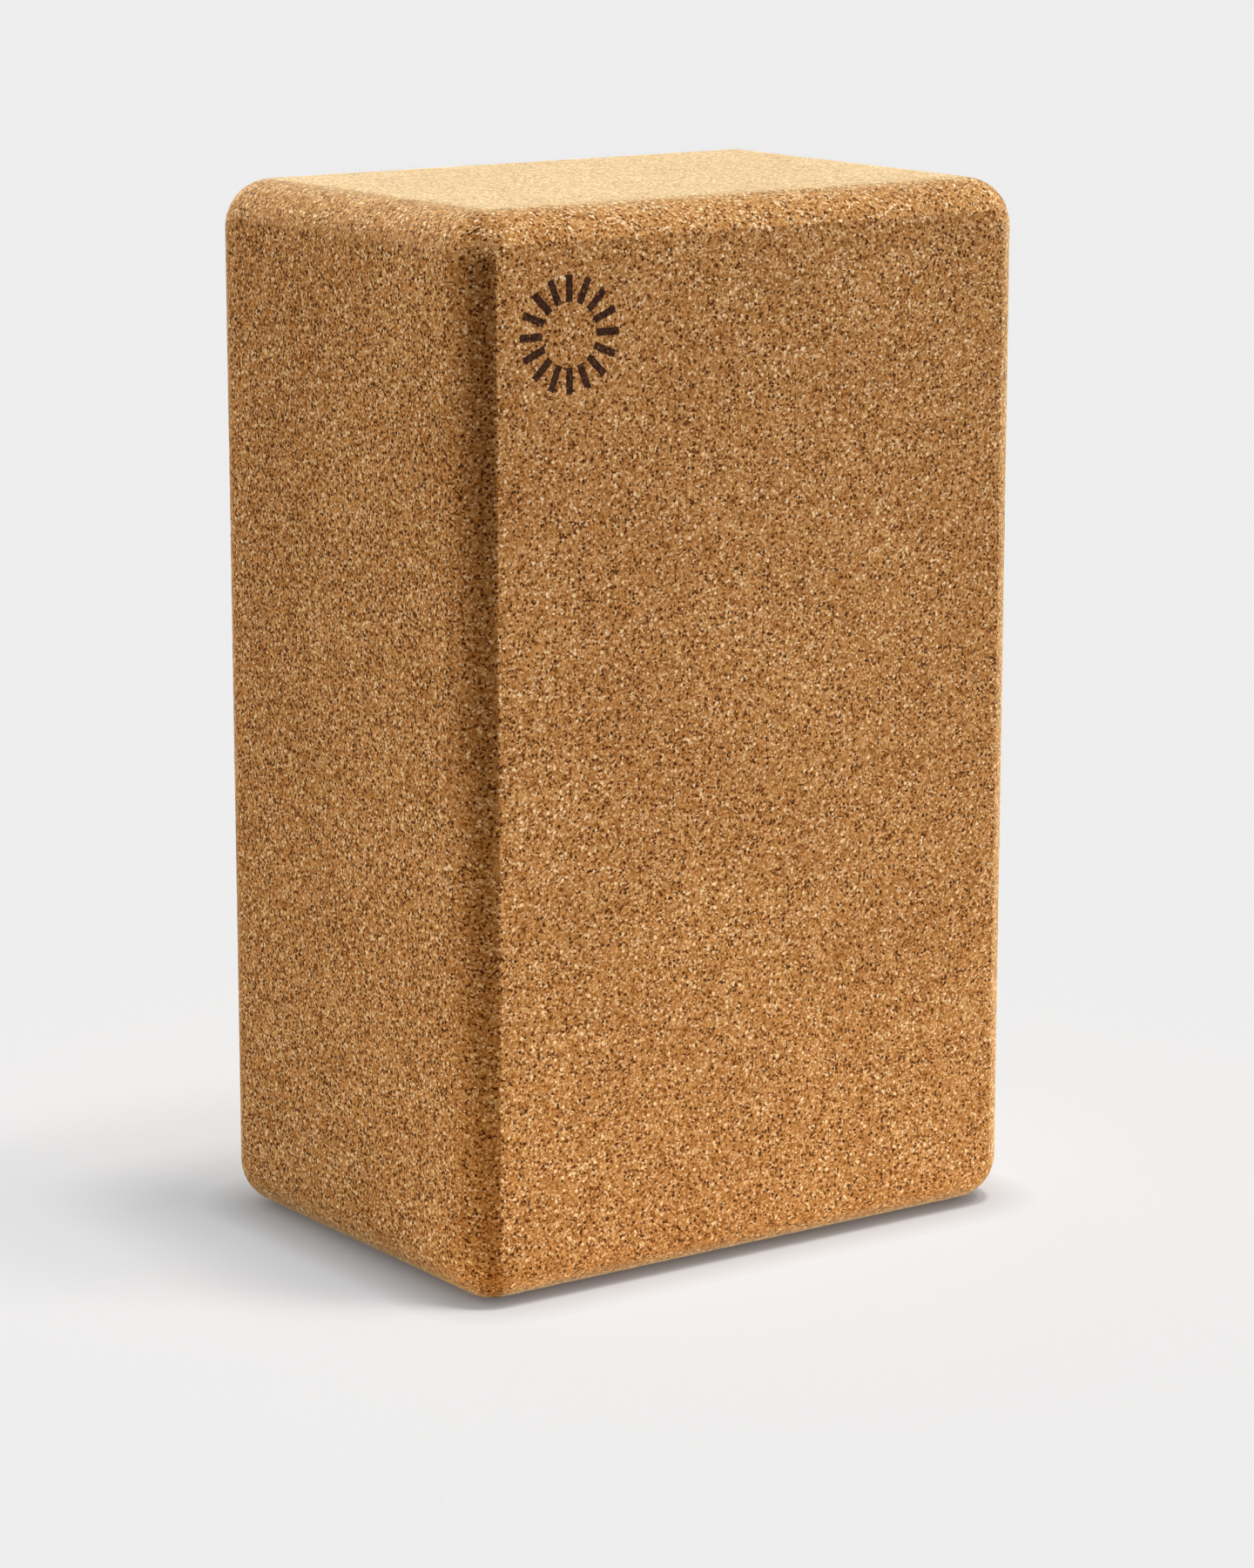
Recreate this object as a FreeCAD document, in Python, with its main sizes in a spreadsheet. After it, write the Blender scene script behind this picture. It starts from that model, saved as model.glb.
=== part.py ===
import FreeCAD, Part
import Sketcher
import os

# Cork yoga block standing on its small end.
# Millimetres, +Z up, origin at the middle of the bottom end, front face towards -Y.

doc = FreeCAD.newDocument("yoga_block")

# Driving dimensions
SIZES = {
    "block_height": 228.6,     # 9 in
    "block_width": 144.0,
    "block_depth": 101.6,      # 4 in
    "edge_radius": 10.4,       # rounding on every edge
    "face_skim": 0.7,          # sanded off each big face after the rounding
    "mark_from_side": 24.2,    # left side to the middle of the print
    "mark_from_top": 25.4,     # top end to the middle of the print
    "mark_radius": 12.2,       # middle of the print to the outer ends of its ticks
    "tick_length": 5.6,
    "tick_width": 1.6,
    "tick_count": 16,
    "ink_depth": 0.3,          # how far the ink soaks into the cork
}
sheet = doc.addObject("Spreadsheet::Sheet", "sizes")
for row, (alias, value) in enumerate(SIZES.items(), start=1):
    sheet.set(f"A{row}", alias)
    sheet.set(f"B{row}", str(value))
    sheet.setAlias(f"B{row}", alias)
doc.recompute()

# Where the middle of the print lies, and where the two big faces end up
MARK_X = "sizes.mark_from_side - sizes.block_width / 2"
MARK_Z = "sizes.block_height - sizes.mark_from_top"
BIG_FACE = "sizes.block_depth / 2"


def bind(thing, **expressions):
    """Tie properties to the sheet, with a double underscore for the dot in a property's path."""
    for path, expression in expressions.items():
        thing.setExpression(path.replace("__", "."), expression)


def new_body(label):
    body = doc.addObject("PartDesign::Body", label)
    body.Label = label
    return body


def front_plane(body):
    """The body's own upright plane, whose sketches read X to the right, Z up and face -Y."""
    return [feature for feature in body.Origin.OriginFeatures if feature.Role == "XZ_Plane"][0]


def rectangle_sketch(body, name, width, height, low=None):
    """A rectangle centred on the sketch's upright axis, standing on the sketch's origin or low above it."""
    sketch = body.newObject("Sketcher::SketchObject", name)
    sketch.AttachmentSupport = [(front_plane(body), "")]
    sketch.MapMode = "FlatFace"
    corners = [FreeCAD.Vector(x, y) for x, y in ((-1, 1), (1, 1), (1, 3), (-1, 3))]
    for start, end in zip(corners, corners[1:] + corners[:1]):
        sketch.addGeometry(Part.LineSegment(start, end))
    bottom, right, top, left = range(4)
    for side in range(4):
        sketch.addConstraint(Sketcher.Constraint("Coincident", side, 2, (side + 1) % 4, 1))
    sketch.addConstraint(Sketcher.Constraint("Vertical", right))
    sketch.addConstraint(Sketcher.Constraint("Vertical", left))
    sketch.addConstraint(Sketcher.Constraint("Horizontal", top))
    across, origin, upright = -1, -1, -2
    sketch.addConstraint(Sketcher.Constraint("Symmetric", bottom, 1, bottom, 2, upright))
    measures = {
        "width": (Sketcher.Constraint("DistanceX", bottom, 1, bottom, 2, 2.0), width),
        "height": (Sketcher.Constraint("DistanceY", right, 1, right, 2, 2.0), height),
    }
    if low is None:
        sketch.addConstraint(Sketcher.Constraint("PointOnObject", bottom, 1, across))
    else:
        measures["low"] = (Sketcher.Constraint("DistanceY", origin, 1, bottom, 1, 1.0), low)
    for measure, (constraint, expression) in measures.items():
        sketch.renameConstraint(sketch.addConstraint(constraint), measure)
        sketch.setExpression(f"Constraints.{measure}", expression)
    return sketch


def block_rectangle(body, name):
    return rectangle_sketch(body, name, "sizes.block_width", "sizes.block_height")


def tick_rectangle(body, name):
    """The top tick of the print, seen from the middle of the print."""
    inner_radius = "sizes.mark_radius - sizes.tick_length"
    return rectangle_sketch(body, name, "sizes.tick_width", "sizes.tick_length", inner_radius)


def ring_of_ticks(body, name, tick, sketch):
    """Copies of one tick all the way round the middle of the print."""
    ring = body.newObject("PartDesign::PolarPattern", name)
    ring.Originals = [tick]
    ring.Axis = (sketch, ["N_Axis"])
    ring.Angle = 360
    bind(ring, Occurrences="sizes.tick_count")
    body.Tip = ring
    return ring


def cork_body():
    """One pressed-cork block: rounded on every edge, then sanded flat on its two big faces."""
    body = new_body("cork_body")

    blank = body.newObject("PartDesign::Pad", "blank")
    blank.Profile = block_rectangle(body, "block_outline")
    blank.SideType = "Symmetric"
    bind(blank, Length="sizes.block_depth + 2 * sizes.face_skim")
    doc.recompute()

    rounding = body.newObject("PartDesign::Fillet", "rounding")
    rounding.Base = (blank, [""])
    rounding.UseAllEdges = True
    bind(rounding, Radius="sizes.edge_radius")
    doc.recompute()

    # The cut runs outwards from the finished face, which leaves a faint line round it.
    front_skim = body.newObject("PartDesign::Pocket", "front_skim")
    front_skim.Profile = block_rectangle(body, "sanded_face")
    front_skim.Reversed = True
    bind(front_skim.Profile[0], AttachmentOffset__Base__z=BIG_FACE)
    bind(front_skim, Length="sizes.face_skim")
    doc.recompute()

    back_skim = body.newObject("PartDesign::Mirrored", "back_skim")
    back_skim.Originals = [front_skim]
    back_skim.MirrorPlane = (front_plane(body), [""])
    body.Tip = back_skim
    doc.recompute()

    tick_recess = body.newObject("PartDesign::Pocket", "tick_recess")
    tick = tick_rectangle(body, "tick_in_cork")
    bind(tick, AttachmentOffset__Base__x=MARK_X, AttachmentOffset__Base__y=MARK_Z,
         AttachmentOffset__Base__z=BIG_FACE)
    tick_recess.Profile = tick
    bind(tick_recess, Length="sizes.ink_depth")
    doc.recompute()

    ring_of_ticks(body, "tick_recesses", tick_recess, tick)
    doc.recompute()
    return body


def printed_mark():
    """A plain dial of ticks: the skin of cork that the ink has soaked, flush with the front face."""
    body = new_body("printed_mark")
    body.AllowCompound = True
    bind(body, Placement__Base__x=MARK_X, Placement__Base__y=f"-{BIG_FACE}", Placement__Base__z=MARK_Z)

    inked_tick = body.newObject("PartDesign::Pad", "inked_tick")
    tick = tick_rectangle(body, "tick_in_ink")
    inked_tick.Profile = tick
    inked_tick.Reversed = True
    bind(inked_tick, Length="sizes.ink_depth")
    doc.recompute()

    ring_of_ticks(body, "inked_ticks", inked_tick, tick)
    doc.recompute()
    return body


def check_features():
    """Stop if any feature of the document failed."""
    failed = [thing.Name for thing in doc.Objects if {"Invalid", "Error"} & set(thing.State)]
    if failed:
        raise RuntimeError(f"features that failed: {failed}")


def check_shapes(bodies):
    """Stop if any sub-part lacks a whole solid."""
    for body in bodies:
        if body.Shape.isNull() or not body.Shape.isValid():
            raise RuntimeError(f"{body.Label} has no valid shape")


def check_recesses(cork, ink):
    """Stop unless the recesses take out of the cork just what the inked ticks fill."""
    uncut = doc.getObject("back_skim").Shape.Volume
    filled_share = ink.Shape.Volume / (uncut - cork.Shape.Volume)
    if round(filled_share, 3) != 1:
        raise RuntimeError(f"the inked ticks fill {filled_share:.3f} of their recesses")


def export(bodies):
    """One STEP file for each sub-part, named by its label."""
    os.makedirs("parts", exist_ok=True)
    for body in bodies:
        body.Shape.exportStep(f"parts/{body.Label}.step")
        print(f"{body.Label}: {len(body.Shape.Solids)} solids, {body.Shape.Volume:.1f} mm3, {body.Shape.BoundBox}")


subparts = [cork_body(), printed_mark()]
doc.recompute()
check_features()
check_shapes(subparts)
check_recesses(*subparts)
export(subparts)
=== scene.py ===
import math

import bpy
import numpy as np
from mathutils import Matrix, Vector
from mathutils.bvhtree import BVHTree
from mathutils.kdtree import KDTree


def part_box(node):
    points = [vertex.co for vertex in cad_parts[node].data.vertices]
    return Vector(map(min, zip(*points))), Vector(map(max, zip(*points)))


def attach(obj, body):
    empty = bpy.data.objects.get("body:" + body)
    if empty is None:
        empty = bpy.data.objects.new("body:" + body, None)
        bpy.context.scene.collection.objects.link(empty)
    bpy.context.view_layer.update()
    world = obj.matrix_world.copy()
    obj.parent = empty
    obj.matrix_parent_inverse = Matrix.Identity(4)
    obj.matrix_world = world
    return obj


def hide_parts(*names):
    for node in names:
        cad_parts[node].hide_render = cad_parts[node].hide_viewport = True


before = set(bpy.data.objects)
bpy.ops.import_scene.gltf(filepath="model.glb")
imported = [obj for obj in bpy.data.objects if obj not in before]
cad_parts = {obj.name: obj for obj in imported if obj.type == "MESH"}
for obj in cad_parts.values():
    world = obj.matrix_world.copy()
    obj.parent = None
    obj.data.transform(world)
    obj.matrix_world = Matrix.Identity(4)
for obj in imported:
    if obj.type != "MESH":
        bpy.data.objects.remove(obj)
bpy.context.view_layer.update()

# A cork yoga block standing on its small end, in the CAD frame: metres, +Z up, front face towards -Y.
MM = 0.001

# The block's own sizes. The overall ones come from the frame.
CORK_LOW, CORK_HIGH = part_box("cork_body")
BLOCK_CENTRE = (CORK_LOW + CORK_HIGH) / 2
BLOCK_SIZE = CORK_HIGH - CORK_LOW
EDGE_RADIUS = 10.4 * MM      # rounding on every edge
FACE_SKIM = 0.7 * MM         # sanded off each big face after the rounding
GRID_STEP = 1.24 * MM        # spacing of the block's mesh
CREASE_MARGIN = 0.3 * MM     # the line round a big face is this far from the mesh lines beside it
CREASE_STOPS = 4             # mesh lines from the end of the flat to just before that line
ROUND_STOPS = 5              # and from just after it to half way round the edge
BAKE_GAP = 1.6 * MM          # between the sides in the flat layout for baking

# Relief of the sanded cork, all of it inwards from the true face
GRAIN_RELIEF = 0.09 * MM
GRAIN_WAVE = 2.6 * MM
COARSE_SHARE = 0.65          # of the relief; the waves of the rest are half as long
PIT_COUNT = 900
PIT_RADIUS = (0.9 * MM, 1.9 * MM)
PIT_DEPTH = (0.10 * MM, 0.38 * MM)

# The print: a plain dial of ticks near the upper left corner of the front face
MARK_LOW, MARK_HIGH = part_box("printed_mark")
MARK_CENTRE = (MARK_LOW + MARK_HIGH) / 2
MARK_RADIUS = (MARK_HIGH.z - MARK_LOW.z) / 2
TICK_LENGTH = 5.6 * MM
TICK_WIDTH = 1.6 * MM
TICK_COUNT = 16
INK_STEP = 0.2 * MM          # spacing of the print's mesh
INK_PROUD = 0.03 * MM        # how far the dried ink stands on the cork
INK_SOAK = 0.25 * MM         # how far it has soaked in
INK_BLEED = 0.07 * MM        # how far its edge wanders

# Grain of the cork: granules of mixed size, pressed together with a thin film of binder
GRANULE = 0.46 * MM
CRUMB = 0.3 * MM             # the smallest granules, between the larger ones
OUTLINE_WAVE = 1.4 * GRANULE    # granules are crushed chips, so their outlines wander over this length
OUTLINE_WANDER = 0.6 * GRANULE  # and by no more than this
SEAM_REACH = 0.14            # how far a seam shows from a granule's edge, as a share of a granule
FLECK_SPACING = 1.15 * MM    # dark bits of bark
PORE_SPACING = 1.2 * MM
CHIP_SPACING = 1.7 * MM      # pale chips of clean inner bark
FINE_WAVE = 0.3 * MM         # width of the finest roughness
CLOUD = 38 * MM              # slow change of tone over the billet

# How far each part of the grain stands up from the face, or lies below it
GRANULE_RISE = 0.032 * MM
CRUMB_RISE = 0.016 * MM
SEAM_RISE = -0.028 * MM
PORE_RISE = -0.06 * MM
FINE_RISE = 0.028 * MM


def linear(hex_colour):
    """An sRGB hex colour as linear RGBA."""
    levels = [int(hex_colour[i:i + 2], 16) / 255 for i in (1, 3, 5)]
    return (*[c / 12.92 if c <= 0.04045 else ((c + 0.055) / 1.055) ** 2.4 for c in levels], 1.0)


def add_node(tree, kind, settings, inputs, stops=()):
    """One node, with its settings, each input linked to a socket or set to a value, and a ramp's stops."""
    node = tree.nodes.new(kind)
    for name, value in settings.items():
        setattr(node, name, value)
    for name, value in inputs.items():
        if isinstance(value, bpy.types.NodeSocket):
            tree.links.new(value, node.inputs[name])
        else:
            node.inputs[name].default_value = value
    if stops:
        elements = node.color_ramp.elements
        while len(elements) < len(stops):
            elements.new(1.0)
        for element, (position, colour) in zip(elements, stops):
            element.position = position
            element.color = linear(colour)
    return node


def new_material(name):
    """An empty material and its node tree."""
    material = bpy.data.materials.new(name)
    material.use_nodes = True
    material.node_tree.nodes.clear()
    return material, material.node_tree


def cork_grain(tree):
    """The grain that bare and inked cork share: sockets for tone, seams, flecks, pores, chips and bump."""
    place = add_node(tree, "ShaderNodeTexCoord", {}, {}).outputs["Object"]
    wander = add_node(tree, "ShaderNodeTexNoise", {},
                      {"Vector": place, "Scale": 1 / OUTLINE_WAVE, "Detail": 2.0})
    warped = add_node(tree, "ShaderNodeVectorMath", {"operation": "MULTIPLY_ADD"},
                      {0: wander.outputs["Color"], 1: (OUTLINE_WANDER,) * 3, 2: place}).outputs["Vector"]
    granules = add_node(tree, "ShaderNodeTexVoronoi", {}, {"Vector": warped, "Scale": 1 / GRANULE})
    lots = add_node(tree, "ShaderNodeSeparateColor", {}, {"Color": granules.outputs["Color"]})
    edges = add_node(tree, "ShaderNodeTexVoronoi", {"feature": "DISTANCE_TO_EDGE"},
                     {"Vector": warped, "Scale": 1 / GRANULE})
    seam = add_node(tree, "ShaderNodeMapRange", {"interpolation_type": "SMOOTHSTEP"},
                    {"Value": edges.outputs["Distance"], "From Min": 0.0, "From Max": SEAM_REACH,
                     "To Min": 1.0, "To Max": 0.0})
    crumbs = add_node(tree, "ShaderNodeTexVoronoi", {}, {"Vector": warped, "Scale": 1 / CRUMB})
    crumb_lots = add_node(tree, "ShaderNodeSeparateColor", {}, {"Color": crumbs.outputs["Color"]})

    def scattered(spacing, radius, share, offset):
        """A mask of irregular spots: a share of cells hold one each, its radius a part of the spacing."""
        moved = add_node(tree, "ShaderNodeVectorMath", {"operation": "ADD"}, {0: warped, 1: (offset,) * 3})
        cells = add_node(tree, "ShaderNodeTexVoronoi", {},
                         {"Vector": moved.outputs["Vector"], "Scale": 1 / spacing})
        lot = add_node(tree, "ShaderNodeSeparateColor", {}, {"Color": cells.outputs["Color"]})
        reach = add_node(tree, "ShaderNodeMapRange", {"interpolation_type": "SMOOTHSTEP"},
                         {"Value": cells.outputs["Distance"], "From Min": 0.7 * radius, "From Max": radius,
                          "To Min": 1.0, "To Max": 0.0})
        chosen = add_node(tree, "ShaderNodeMath", {"operation": "LESS_THAN"},
                          {0: lot.outputs["Red"], 1: share})
        spots = add_node(tree, "ShaderNodeMath", {"operation": "MULTIPLY"},
                         {0: reach.outputs["Result"], 1: chosen.outputs["Value"]})
        return spots.outputs["Value"]

    # The offsets keep the three patterns from falling on each other.
    flecks = scattered(FLECK_SPACING, radius=0.38, share=0.22, offset=3 * MM)
    pores = scattered(PORE_SPACING, radius=0.3, share=0.2, offset=7 * MM)
    chips = scattered(CHIP_SPACING, radius=0.28, share=0.26, offset=11 * MM)

    # Height in metres: each granule stands a little higher or lower, with grooves at seams and open pores.
    fine = add_node(tree, "ShaderNodeTexNoise", {},
                    {"Vector": place, "Scale": 1 / FINE_WAVE, "Detail": 1.0})
    height = add_node(tree, "ShaderNodeMath", {"operation": "MULTIPLY"},
                      {0: lots.outputs["Blue"], 1: GRANULE_RISE})
    rises = (
        (seam.outputs["Result"], SEAM_RISE), (pores, PORE_RISE),
        (fine.outputs["Fac"], FINE_RISE), (crumb_lots.outputs["Blue"], CRUMB_RISE),
    )
    for mask, rise in rises:
        height = add_node(tree, "ShaderNodeMath", {"operation": "MULTIPLY_ADD"},
                          {0: mask, 1: rise, 2: height.outputs["Value"]})
    bump = add_node(tree, "ShaderNodeBump", {},
                    {"Strength": 1.0, "Distance": 1.0, "Height": height.outputs["Value"]})
    return {
        "place": place, "tone": lots.outputs["Red"], "gloss": lots.outputs["Green"],
        "crumb": crumb_lots.outputs["Red"], "seam": seam.outputs["Result"], "flecks": flecks,
        "pores": pores, "chips": chips, "normal": bump.outputs["Normal"],
    }


def sanded_cork():
    """Fine-grain agglomerated cork, cut and sanded: matt, speckled, with a dusty sheen at a low angle."""
    material, tree = new_material("sanded_agglomerated_cork")
    grain = cork_grain(tree)
    tones = add_node(tree, "ShaderNodeValToRGB", {}, {"Fac": grain["tone"]}, (
        (0.0, "#4A250A"), (0.07, "#7E4B1C"), (0.22, "#B27D43"), (0.5, "#CD9B5E"),
        (0.78, "#E4B47C"), (0.92, "#FADAA8"), (1.0, "#FFF0D4"),
    ))
    crumbs = add_node(tree, "ShaderNodeValToRGB", {}, {"Fac": grain["crumb"]}, (
        (0.0, "#8C6C48"), (0.3, "#CDB796"), (0.65, "#F4ECDD"), (1.0, "#FFFFFF"),
    ))
    # A Mix node's inputs 6 and 7 are its two colours, and its output 2 is the mixed one.
    crumbed = add_node(tree, "ShaderNodeMix", {"data_type": "RGBA", "blend_type": "MULTIPLY"},
                       {"Factor": 0.5, 6: tones.outputs["Color"], 7: crumbs.outputs["Color"]})
    colour = crumbed.outputs[2]
    # Over the granules lie, in turn, the binder in the seams, pale chips, flecks of bark, and open pores.
    layers = (
        (grain["seam"], 0.32, "#8A5220"), (grain["chips"], 0.9, "#FFE7BA"),
        (grain["flecks"], 0.95, "#4A2002"), (grain["pores"], 0.9, "#4A2203"),
    )
    for mask, strength, tone in layers:
        share = add_node(tree, "ShaderNodeMath", {"operation": "MULTIPLY"}, {0: mask, 1: strength})
        layer = add_node(tree, "ShaderNodeMix", {"data_type": "RGBA"},
                         {"Factor": share.outputs["Value"], 6: colour, 7: linear(tone)})
        colour = layer.outputs[2]
    cloud = add_node(tree, "ShaderNodeTexNoise", {},
                     {"Vector": grain["place"], "Scale": 1 / CLOUD, "Detail": 3.0})
    clouds = add_node(tree, "ShaderNodeValToRGB", {}, {"Fac": cloud.outputs["Fac"]},
                      ((0.3, "#EFE9E2"), (0.7, "#FFFFFF")))
    clouded = add_node(tree, "ShaderNodeMix", {"data_type": "RGBA", "blend_type": "MULTIPLY"},
                       {"Factor": 1.0, 6: colour, 7: clouds.outputs["Color"]})
    rough = add_node(tree, "ShaderNodeMapRange", {},
                     {"Value": grain["gloss"], "To Min": 0.66, "To Max": 0.86})
    shader = add_node(tree, "ShaderNodeBsdfPrincipled", {}, {
        "Base Color": clouded.outputs[2], "Roughness": rough.outputs["Result"], "IOR": 1.45,
        "Specular IOR Level": 0.03, "Sheen Weight": 0.62, "Sheen Roughness": 0.33,
        "Sheen Tint": linear("#FFFAD0"), "Normal": grain["normal"],
    })
    add_node(tree, "ShaderNodeOutputMaterial", {}, {"Surface": shader.outputs[0]})
    return material


def soaked_ink():
    """Dark brown ink dabbed on cork: it dulls the grain without hiding it, and misses the deepest pores."""
    material, tree = new_material("ink_soaked_cork")
    grain = cork_grain(tree)
    tones = add_node(tree, "ShaderNodeValToRGB", {}, {"Fac": grain["tone"]},
                     ((0.0, "#241005"), (0.6, "#3A2012"), (1.0, "#573824")))
    missed = add_node(tree, "ShaderNodeMath", {"operation": "MULTIPLY"}, {0: grain["pores"], 1: 0.5})
    colour = add_node(tree, "ShaderNodeMix", {"data_type": "RGBA"},
                      {"Factor": missed.outputs["Value"], 6: tones.outputs["Color"], 7: linear("#A06C3C")})
    shader = add_node(tree, "ShaderNodeBsdfPrincipled", {}, {
        "Base Color": colour.outputs[2], "Roughness": 0.7, "IOR": 1.48,
        "Specular IOR Level": 0.06, "Normal": grain["normal"],
    })
    add_node(tree, "ShaderNodeOutputMaterial", {}, {"Surface": shader.outputs[0]})
    return material


def axis_stops(size):
    """Mesh lines along one side, from its middle: even on the flat, then round the edge to half way."""
    flat = size / 2 - EDGE_RADIUS
    crease = math.acos(1 - FACE_SKIM / EDGE_RADIUS)
    margin = CREASE_MARGIN / EDGE_RADIUS
    on_flat = np.linspace(0, flat, round(flat / GRID_STEP) + 1)
    sanded = np.linspace(0, crease - margin, CREASE_STOPS)[1:]
    rounded = np.linspace(crease + margin, math.pi / 4, ROUND_STOPS)
    on_edge = flat + EDGE_RADIUS * np.tan(np.concatenate([sanded, [crease], rounded]))
    half = np.concatenate([on_flat, on_edge])
    return np.concatenate([-half[:0:-1], half])


def shell_of_lattice(counts):
    """The outer shell of a lattice: its points' indices and the quads of its six sides, facing outwards."""
    indices, quads, first = [], [], 0
    for axis in range(3):
        across, along = (axis + 1) % 3, (axis + 2) % 3
        shape = (counts[across], counts[along])
        for end in (0, counts[axis] - 1):
            grid = np.zeros((*shape, 3), int)
            grid[..., axis] = end
            grid[..., across] = np.arange(counts[across])[:, None]
            grid[..., along] = np.arange(counts[along])[None, :]
            number = first + np.arange(shape[0] * shape[1]).reshape(shape)
            corners = [number[:-1, :-1], number[1:, :-1], number[1:, 1:], number[:-1, 1:]]
            quads.append(np.stack(corners if end else corners[::-1], -1).reshape(-1, 4))
            indices.append(grid.reshape(-1, 3))
            first += number.size
    indices, merged = np.unique(np.concatenate(indices), axis=0, return_inverse=True)
    return indices, merged.reshape(-1)[np.concatenate(quads)]


def value_noise(points, wave, seed):
    """Smooth noise between 0 and 1 with the given wavelength."""
    period = 64
    table = np.random.default_rng(seed).random((period,) * 3)
    cell = np.floor(points / wave).astype(int)
    part = points / wave - cell
    part = part * part * (3 - 2 * part)
    total = np.zeros(len(points))
    for corner in np.ndindex(2, 2, 2):
        weight = np.prod(np.where(corner, part, 1 - part), axis=1)
        total += weight * table[tuple(((cell + corner) % period).T)]
    return total


def bake_map(mesh, indices, quads, stops, blank):
    """A flat layout of the six sides at one scale, for baking, in three rows.

    They hold the left, front and back, then the right and top, then the bottom.
    """
    flats = blank / 2 - EDGE_RADIUS
    arcs = []
    for line, flat in zip(stops, flats):
        past = np.maximum(np.abs(line) - flat, 0)
        arc = np.minimum(np.abs(line), flat) + EDGE_RADIUS * np.arctan(past / EDGE_RADIUS)
        arcs.append(np.sign(line) * arc + arc.max())
    width, depth, height = (arc.max() for arc in arcs)
    second_row = height + BAKE_GAP
    third_row = height + depth + 2 * BAKE_GAP
    square = third_row + depth
    turned = {"left": False, "right": True, "front": True, "back": True, "bottom": False, "top": False}
    places = {
        "left": (0, 0), "right": (0, second_row), "front": (depth + BAKE_GAP, 0),
        "back": (depth + width + 2 * BAKE_GAP, 0), "bottom": (0, third_row),
        "top": (height + BAKE_GAP, second_row),
    }
    counts = [len(line) - 1 for line in stops]
    layout, first = [], 0
    for number, side in enumerate(turned):
        across, along = (number // 2 + 1) % 3, (number // 2 + 2) % 3
        corners = indices[quads[first:first + counts[across] * counts[along]]].reshape(-1, 3)
        first += counts[across] * counts[along]
        spots = np.stack([arcs[across][corners[:, across]], arcs[along][corners[:, along]]], axis=1)
        layout.append((spots[:, ::-1] if turned[side] else spots) + places[side])
    layer = mesh.uv_layers.new(name="OFBake")
    spread = (np.concatenate(layout) + BAKE_GAP / 2) / (square + BAKE_GAP)
    layer.data.foreach_set("uv", spread.ravel())


def pit_depths(points, seed):
    """Where granules were torn out in cutting: shallow round pits at random points of the surface."""
    tree = KDTree(len(points))
    for number, point in enumerate(points):
        tree.insert(point, number)
    tree.balance()
    rng = np.random.default_rng(seed)
    depth = np.zeros(len(points))
    for centre in rng.choice(len(points), PIT_COUNT, replace=False):
        radius, deepest = rng.uniform(*PIT_RADIUS), rng.uniform(*PIT_DEPTH)
        for _, number, distance in tree.find_range(points[centre], radius):
            depth[number] = max(depth[number], deepest * (1 - (distance / radius) ** 2) ** 2)
    return depth


def cork_block():
    """The block: rounded edges, a faint line round each sanded big face, and the relief of the grain."""
    blank = np.array(BLOCK_SIZE) + (0, 2 * FACE_SKIM, 0)
    stops = [axis_stops(side) for side in blank]
    indices, quads = shell_of_lattice([len(line) for line in stops])
    lattice = np.stack([stops[axis][indices[:, axis]] for axis in range(3)], axis=1)
    core = np.clip(lattice, -(blank / 2 - EDGE_RADIUS), blank / 2 - EDGE_RADIUS)
    outward = lattice - core
    outward /= np.linalg.norm(outward, axis=1)[:, None]
    points = core + EDGE_RADIUS * outward
    face = BLOCK_SIZE.y / 2
    sanded = np.abs(points[:, 1]) >= face
    outward[sanded] = np.sign(points[sanded, 1])[:, None] * (0, 1, 0)
    points[:, 1] = np.clip(points[:, 1], -face, face)
    points += np.array(BLOCK_CENTRE)
    coarse = value_noise(points, GRAIN_WAVE, seed=3)
    finer = value_noise(points, GRAIN_WAVE / 2, seed=4)
    grain = COARSE_SHARE * coarse + (1 - COARSE_SHARE) * finer
    points -= outward * (GRAIN_RELIEF * grain + pit_depths(points, seed=5))[:, None]

    mesh = bpy.data.meshes.new("cork_block")
    mesh.from_pydata(points, [], quads)
    mesh.shade_smooth()
    bake_map(mesh, indices, quads, stops, blank)
    mesh.materials.append(sanded_cork())
    block = bpy.data.objects.new("cork_block", mesh)
    bpy.context.collection.objects.link(block)
    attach(block, "root")
    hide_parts("cork_body")
    return block


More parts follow.
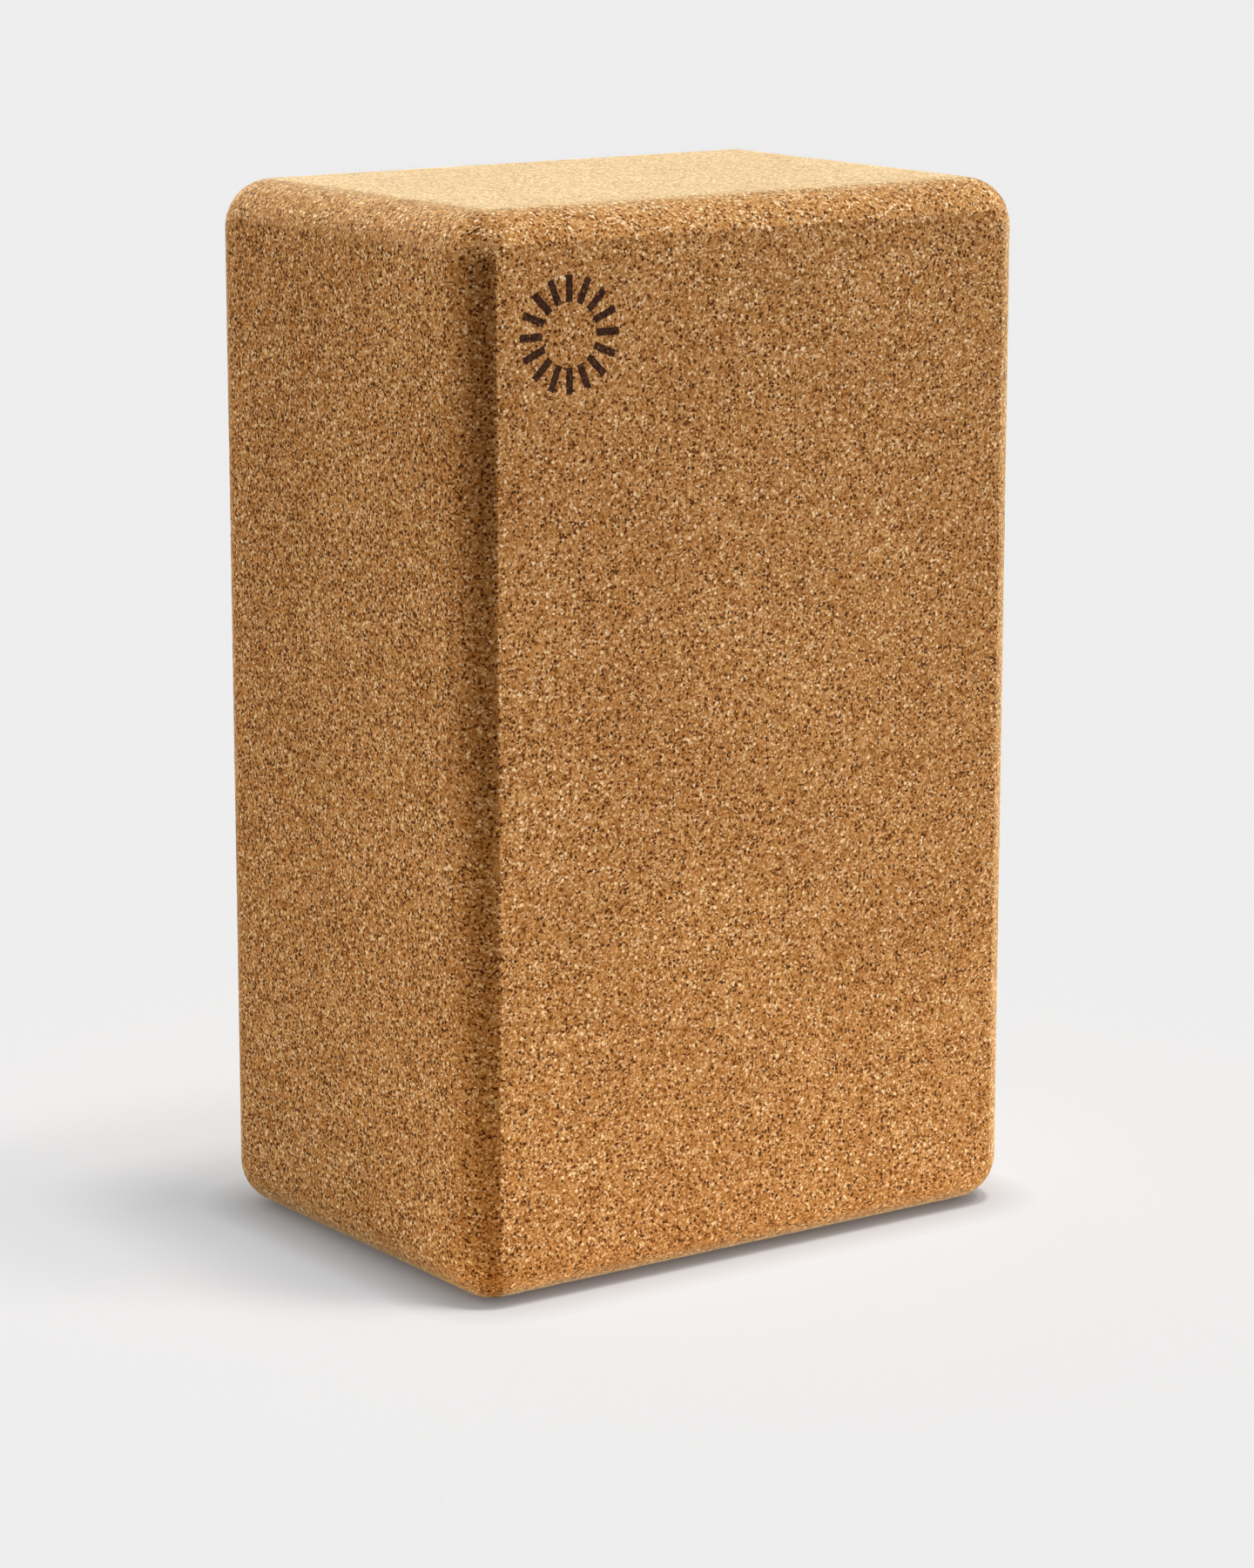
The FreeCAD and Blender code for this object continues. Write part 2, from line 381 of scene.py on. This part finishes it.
def dial_print(block):
    """The print: a ring of ticks, each a thin skin of ink that follows the cork's relief."""
    skin = BVHTree.FromPolygons([vertex.co for vertex in block.data.vertices],
                                [polygon.vertices for polygon in block.data.polygons])
    rng = np.random.default_rng(seed=11)
    rows, columns = round(TICK_LENGTH / INK_STEP), round(TICK_WIDTH / INK_STEP)
    along = np.linspace(MARK_RADIUS - TICK_LENGTH, MARK_RADIUS, rows + 1)
    across = np.linspace(-TICK_WIDTH / 2, TICK_WIDTH / 2, columns + 1)
    points, faces = [], []
    for tick in range(TICK_COUNT):
        turn = 2 * math.pi * tick / TICK_COUNT
        radial = Vector((math.sin(turn), 0, math.cos(turn)))
        sideways = Vector((math.cos(turn), 0, -math.sin(turn)))
        first = len(points)
        top, under = [], []
        for row, reach in enumerate(along):
            for column, offset in enumerate(across):
                at_rim = row in (0, rows) or column in (0, columns)
                bleed = rng.uniform(-INK_BLEED, INK_BLEED, 2) if at_rim else (0, 0)
                spot = MARK_CENTRE + radial * (reach + bleed[0]) + sideways * (offset + bleed[1])
                start = Vector((spot.x, CORK_LOW.y - GRID_STEP, spot.z))
                surface = skin.ray_cast(start, Vector((0, 1, 0)))[0]
                top.append(surface - Vector((0, INK_PROUD, 0)))
                under.append(surface + Vector((0, INK_SOAK, 0)))
        points += top + under
        number = first + np.arange(len(top)).reshape(rows + 1, columns + 1)
        depth = len(top)
        for row in range(rows):
            for column in range(columns):
                quad = [number[row, column], number[row, column + 1],
                        number[row + 1, column + 1], number[row + 1, column]]
                faces.append(quad[::-1])
                faces.append([corner + depth for corner in quad])
        rim = [*number[0, :-1], *number[:-1, -1], *number[-1, :0:-1], *number[:0:-1, 0]]
        for start, end in zip(rim, rim[1:] + rim[:1]):
            faces.append([start, end, end + depth, start + depth])
    mesh = bpy.data.meshes.new("dial_print")
    mesh.from_pydata(points, [], [[int(corner) for corner in face] for face in faces])
    mesh.materials.append(soaked_ink())
    dial = bpy.data.objects.new("dial_print", mesh)
    bpy.context.collection.objects.link(dial)
    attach(dial, "root")
    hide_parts("printed_mark")


# The photograph's viewpoint: degrees round from the front and above the floor, the lens that fits the
# outline, and how far the point in the middle of the picture lies from the block's centre
CAMERA_AZIMUTH, CAMERA_ELEVATION = -35.25, 12.3
CAMERA_DISTANCE = 1077 * MM
CAMERA_LENS_MM = 112.6
AIM_RIGHT, AIM_UP = 1.9 * MM, -18.6 * MM


def towards(azimuth, elevation):
    """The direction to a point round the object: azimuth 0 is in front, 90 to its right, in degrees."""
    turn, rise = math.radians(azimuth), math.radians(elevation)
    return Vector((math.sin(turn) * math.cos(rise), -math.cos(turn) * math.cos(rise), math.sin(rise)))


def camera():
    """The camera at the photograph's viewpoint."""
    back = towards(CAMERA_AZIMUTH, CAMERA_ELEVATION)
    facing = (-back).to_track_quat("-Z", "Y")
    aim = BLOCK_CENTRE + facing @ Vector((AIM_RIGHT, AIM_UP, 0))
    data = bpy.data.cameras.new("camera")
    data.lens = CAMERA_LENS_MM
    view = bpy.data.objects.new("camera", data)
    view.location = aim + back * CAMERA_DISTANCE
    view.rotation_mode = "QUATERNION"
    view.rotation_quaternion = facing
    bpy.context.collection.objects.link(view)
    bpy.context.scene.camera = view


def soft_light(name, azimuth, elevation, level, spread, shadow=False, colour="#FFFFFF"):
    """A distant softbox, its spread in degrees: a level of 1 lights a white card that faces it to white."""
    data = bpy.data.lights.new(name, "SUN")
    data.energy = math.pi * level
    data.angle = math.radians(spread)
    data.color = linear(colour)[:3]
    data.use_shadow = shadow
    lamp = bpy.data.objects.new(name, data)
    lamp.rotation_mode = "QUATERNION"
    lamp.rotation_quaternion = (-towards(azimuth, elevation)).to_track_quat("-Z", "Y")
    bpy.context.collection.objects.link(lamp)


# The room and its floor of pale paper
BACKDROP = "#EDEDED"
AMBIENT_LEVEL = 0.02
FLOOR_REACH = 40.0           # metres to each side, far enough to meet the backdrop at the horizon
FLOOR_PAPER = "#908D8B"
FLOOR_GLOW = 0.448           # the part of the paper's tone that glows where seen directly, left alone by the lamps' shadows
GLOW_TONE = "#F6FBFF"
PAINTED_CONTACT_REACH = 13 * MM      # how far from the block the glow is darkened into a painted contact shadow
# Light and shade painted into the tone the paper throws back up: a warm pool of light in front of the
# block.
PAINTED_POOL_BOUNCE = "#DBBC8A"     # painted pool of light: the warm tone the paper gives the light it throws back up
DIM_BOUNCE = "#593F27"       # the dim tone outside that painted pool and in the painted shade beside the block
PAINTED_POOL_CENTRE = (BLOCK_CENTRE.x + 15 * MM, CORK_LOW.y - 45 * MM, 0)
PAINTED_POOL_EDGE = (120 * MM, 340 * MM)     # from its centre to where the painted pool starts to fade, and to where it ends
# Painted shade: on the block's left, where its shadow falls, the paper throws back only the dim tone.
PAINTED_SHADE_CENTRE = (CORK_LOW.x - 10 * MM, BLOCK_CENTRE.y + 20 * MM, 0)
PAINTED_SHADE_EDGE = (30 * MM, 70 * MM)


def seen_directly(tree):
    """1 for what the camera, a reflection or a view through glass meets, and 0 for light on its way."""
    path = add_node(tree, "ShaderNodeLightPath", {}, {})
    seen = path.outputs["Is Camera Ray"]
    for ray in ("Is Glossy Ray", "Is Transmission Ray"):
        either = add_node(tree, "ShaderNodeMath", {"operation": "MAXIMUM"}, {0: seen, 1: path.outputs[ray]})
        seen = either.outputs["Value"]
    return seen


def surroundings():
    """An even room: a faint light from all round, and the pale backdrop where it is seen directly."""
    world = bpy.data.worlds.new("studio")
    world.use_nodes = True
    tree = world.node_tree
    tree.nodes.clear()
    ambient = add_node(tree, "ShaderNodeBackground", {}, {"Color": (1, 1, 1, 1), "Strength": AMBIENT_LEVEL})
    backdrop = add_node(tree, "ShaderNodeBackground", {}, {"Color": linear(BACKDROP), "Strength": 1.0})
    either = add_node(tree, "ShaderNodeMixShader", {},
                      {0: seen_directly(tree), 1: ambient.outputs[0], 2: backdrop.outputs[0]})
    add_node(tree, "ShaderNodeOutputWorld", {}, {"Surface": either.outputs[0]})
    bpy.context.scene.world = world


def floor():
    """A pale sweep of paper; the light it throws back up is a painted warm pool before the block."""
    material, tree = new_material("matt_paper")
    seen = seen_directly(tree)
    ground = add_node(tree, "ShaderNodeNewGeometry", {}, {}).outputs["Position"]
    # Painted pool of light: the tone thrown back is warm near the pool's centre and dim beyond it.
    away = add_node(tree, "ShaderNodeVectorMath", {"operation": "DISTANCE"}, {0: ground, 1: PAINTED_POOL_CENTRE})
    painted_pool = add_node(tree, "ShaderNodeMapRange", {"interpolation_type": "SMOOTHSTEP"},
                    {"Value": away.outputs["Value"], "From Min": PAINTED_POOL_EDGE[0], "From Max": PAINTED_POOL_EDGE[1],
                     "To Min": 1.0, "To Max": 0.0})
    # Painted shade: the tone thrown back is dim again on the block's left.
    beside = add_node(tree, "ShaderNodeVectorMath", {"operation": "DISTANCE"}, {0: ground, 1: PAINTED_SHADE_CENTRE})
    outside_painted_shade = add_node(tree, "ShaderNodeMapRange", {"interpolation_type": "SMOOTHSTEP"},
                        {"Value": beside.outputs["Value"],
                         "From Min": PAINTED_SHADE_EDGE[0], "From Max": PAINTED_SHADE_EDGE[1]})
    painted_light_mask = add_node(tree, "ShaderNodeMath", {"operation": "MULTIPLY"},
                   {0: painted_pool.outputs["Result"], 1: outside_painted_shade.outputs["Result"]})
    painted_bounce = add_node(tree, "ShaderNodeMix", {"data_type": "RGBA"},
                      {"Factor": painted_light_mask.outputs["Value"], 6: linear(DIM_BOUNCE), 7: linear(PAINTED_POOL_BOUNCE)})
    tone = add_node(tree, "ShaderNodeMix", {"data_type": "RGBA"},
                    {"Factor": seen, 6: painted_bounce.outputs[2], 7: linear(FLOOR_PAPER)})
    paper = add_node(tree, "ShaderNodeBsdfDiffuse", {}, {"Color": tone.outputs[2]})
    # Painted contact shadow: the glow darkens where the block hems the paper in.
    painted_contact_shadow = add_node(tree, "ShaderNodeAmbientOcclusion", {"samples": 8}, {"Distance": PAINTED_CONTACT_REACH})
    glow_with_painted_shadow = add_node(tree, "ShaderNodeMath", {"operation": "MULTIPLY"},
                     {0: seen, 1: painted_contact_shadow.outputs["AO"]})
    strength = add_node(tree, "ShaderNodeMath", {"operation": "MULTIPLY"},
                        {0: glow_with_painted_shadow.outputs["Value"], 1: FLOOR_GLOW})
    glow = add_node(tree, "ShaderNodeEmission", {},
                    {"Color": linear(GLOW_TONE), "Strength": strength.outputs["Value"]})
    shader = add_node(tree, "ShaderNodeAddShader", {}, {0: paper.outputs[0], 1: glow.outputs[0]})
    add_node(tree, "ShaderNodeOutputMaterial", {}, {"Surface": shader.outputs[0]})
    corners = [(-FLOOR_REACH, -FLOOR_REACH, 0), (FLOOR_REACH, -FLOOR_REACH, 0),
               (FLOOR_REACH, FLOOR_REACH, 0), (-FLOOR_REACH, FLOOR_REACH, 0)]
    mesh = bpy.data.meshes.new("floor")
    mesh.from_pydata(corners, [], [(0, 1, 2, 3)])
    mesh.materials.append(material)
    sweep = bpy.data.objects.new("floor", mesh)
    bpy.context.collection.objects.link(sweep)


dial_print(cork_block())
camera()
soft_light("key", azimuth=45, elevation=66, level=0.4, spread=10, shadow=True)
soft_light("overhead", azimuth=45, elevation=81, level=0.9, spread=10, shadow=True)
soft_light("right_strip", azimuth=62, elevation=5, level=0.93, spread=10)
soft_light("back", azimuth=163, elevation=8, level=0.82, spread=40)
soft_light("back_left", azimuth=-126, elevation=4, level=0.83, spread=36, colour="#FFF6EA")
surroundings()
floor()
bpy.context.scene.view_settings.view_transform = "Standard"
